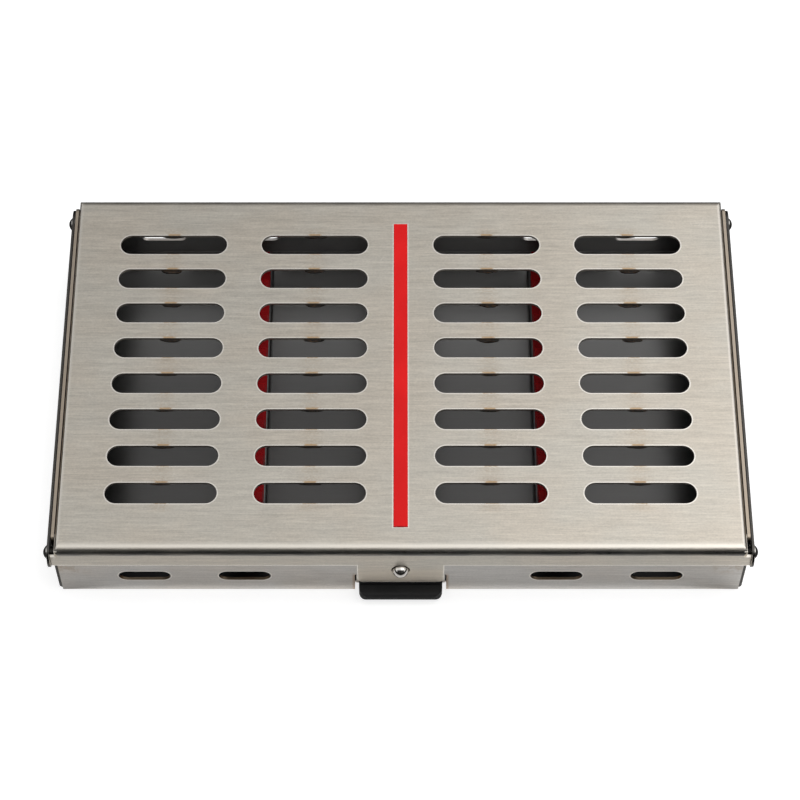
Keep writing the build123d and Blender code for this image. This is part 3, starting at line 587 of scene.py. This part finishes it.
def tent_material():
    """Light given off by the tent: by angle from overhead, and brighter to the right."""
    material = bpy.data.materials.new("tent light")
    material.use_nodes = True
    tree = material.node_tree
    tree.nodes.clear()
    coordinates = tree.nodes.new("ShaderNodeTexCoord")
    split = tree.nodes.new("ShaderNodeSeparateXYZ")
    tree.links.new(coordinates.outputs["Object"], split.inputs[0])
    angle = tree.nodes.new("ShaderNodeMath")
    angle.operation = "ARCTAN2"
    tree.links.new(split.outputs["Y"], angle.inputs[0])
    tree.links.new(split.outputs["Z"], angle.inputs[1])
    share = tree.nodes.new("ShaderNodeMapRange")
    for value, socket in zip((-math.pi / 2, math.pi / 2, 0.0, 1.0), share.inputs[1:5]):
        socket.default_value = value
    tree.links.new(angle.outputs[0], share.inputs[0])
    by_angle = tree.nodes.new("ShaderNodeValToRGB")
    ramp = by_angle.color_ramp
    ramp.interpolation = "EASE"
    while len(ramp.elements) < len(TENT_LEVELS):
        ramp.elements.new(0.5)
    for element, (degrees, _) in zip(ramp.elements, TENT_LEVELS):
        element.position = (degrees + 90) / 180
    for element, (_, level) in zip(ramp.elements, TENT_LEVELS):
        element.color = (level, level, level, 1)
    tree.links.new(share.outputs[0], by_angle.inputs[0])
    side = tree.nodes.new("ShaderNodeMapRange")
    side.interpolation_type = "SMOOTHSTEP"
    for value, socket in zip(TENT_SIDES, side.inputs[1:5]):
        socket.default_value = value
    tree.links.new(split.outputs["X"], side.inputs[0])
    shine = tree.nodes.new("ShaderNodeMath")
    shine.operation = "MULTIPLY"
    tree.links.new(by_angle.outputs[0], shine.inputs[0])
    tree.links.new(side.outputs[0], shine.inputs[1])
    emission = tree.nodes.new("ShaderNodeEmission")
    tree.links.new(shine.outputs[0], emission.inputs["Strength"])
    output = tree.nodes.new("ShaderNodeOutputMaterial")
    tree.links.new(emission.outputs[0], output.inputs[0])
    return material


tent_mesh = bmesh.new()
rings = []
for step in range(TENT_STEPS + 1):
    around = math.radians(-89 + 178 * step / TENT_STEPS)
    y, z = TENT_RADIUS * math.sin(around), TENT_RADIUS * math.cos(around)
    rings.append([tent_mesh.verts.new((x, y, z)) for x in (-TENT_HALF_LENGTH, 0, TENT_HALF_LENGTH)])
for a, b in zip(rings, rings[1:]):
    for i in (0, 1):
        tent_mesh.faces.new((a[i], a[i + 1], b[i + 1], b[i]))
tent = stage_piece("tent", tent_mesh, tent_material())
tent.visible_camera = False
tent.visible_shadow = False


def flag_material():
    """Dark cloth, with a pale card close in front of the cassette."""
    s = Shader("dark flag")
    weave = s.noise(s.place, (0.05, 0.05, 0.05), 2)
    cloth = s.mix(weave, (0.020, 0.020, 0.020), (0.035, 0.035, 0.035))
    pale = s.times(s.fade(s.y, -105.0, -78.0), s.fade(s.y, -50.0, -54.0),
                   s.fade(s.size(s.x), 110.0, 95.0), s.fade(s.z, 5.0, 2.0))
    card = s.grey(s.fade(s.y, -75.0, -60.0, 0.70, 0.93))
    s.put(s.mix(pale, cloth, card), s.surface.inputs["Base Color"])
    s.surface.inputs["Roughness"].default_value = 1.0
    s.surface.inputs["Specular IOR Level"].default_value = 0.0
    return s.material


def flag_ring(name, inner, outer):
    """Dark band between two loops of equal length, seen only by reflections."""
    mesh = bmesh.new()
    loops = [[mesh.verts.new(p) for p in loop] for loop in (inner, outer)]
    count = len(inner)
    for i in range(count):
        j = (i + 1) % count
        mesh.faces.new((loops[0][i], loops[0][j], loops[1][j], loops[1][i]))
    piece = stage_piece(name, mesh, flag_material())
    piece.visible_camera = False
    piece.visible_diffuse = False
    piece.visible_transmission = False
    piece.visible_shadow = False


def circle(radius, height, count=48):
    turns = [2 * math.pi * i / count for i in range(count)]
    return [(radius * math.cos(t), radius * math.sin(t), height) for t in turns]


def near_object(count=48):
    """Points just outside the cassette."""
    points = []
    for x, y, _ in circle(1.0, 0.0, count):
        reach = min(FLAG_INNER[0] / max(abs(x), 1e-6), FLAG_INNER[1] / max(abs(y), 1e-6))
        points.append((x * reach, y * reach, FLAG_LIFT))
    return points


flag_ring("floor_flag", near_object(), circle(FLAG_RADIUS, FLAG_LIFT))
flag_ring("low_flag", circle(FLAG_RADIUS, 0.0), circle(FLAG_RADIUS, FLAG_HEIGHT))

world = bpy.data.worlds.new("studio")
scene.world = world
world.use_nodes = True
tree = world.node_tree
background = tree.nodes["Background"]
background.inputs["Color"].default_value = (1, 1, 1, 1)
level = tree.nodes.new("ShaderNodeMapRange")
for value, socket in zip((0.0, 1.0, 0.55, 1.0), level.inputs[1:5]):
    socket.default_value = value
tree.links.new(seen_rays(tree), level.inputs[0])
tree.links.new(level.outputs[0], background.inputs["Strength"])

key_data = bpy.data.lights.new("soft_key", "AREA")
key_data.energy = 6.0
key_data.shape = "RECTANGLE"
key_data.size = 0.9
key_data.size_y = 0.7
key = bpy.data.objects.new("soft_key", key_data)
key.location = (0.35, 0.35, 1.15)
key.rotation_euler = (Vector((0, 0, 0)) - key.location).to_track_quat("-Z", "Y").to_euler()
key.visible_glossy = False
scene.collection.objects.link(key)

# Camera at the photograph's viewing angle
camera_data = bpy.data.cameras.new("camera")
camera_data.sensor_width = 36
camera_data.lens = 115.24
camera_data.clip_start = 0.01
camera_data.clip_end = 20
camera = bpy.data.objects.new("camera", camera_data)
camera.location = (-0.00016, -0.35425, 0.6064)
camera.rotation_euler = (math.radians(30.6), 0, 0)
scene.collection.objects.link(camera)
scene.camera = camera

scene.view_settings.view_transform = "Standard"
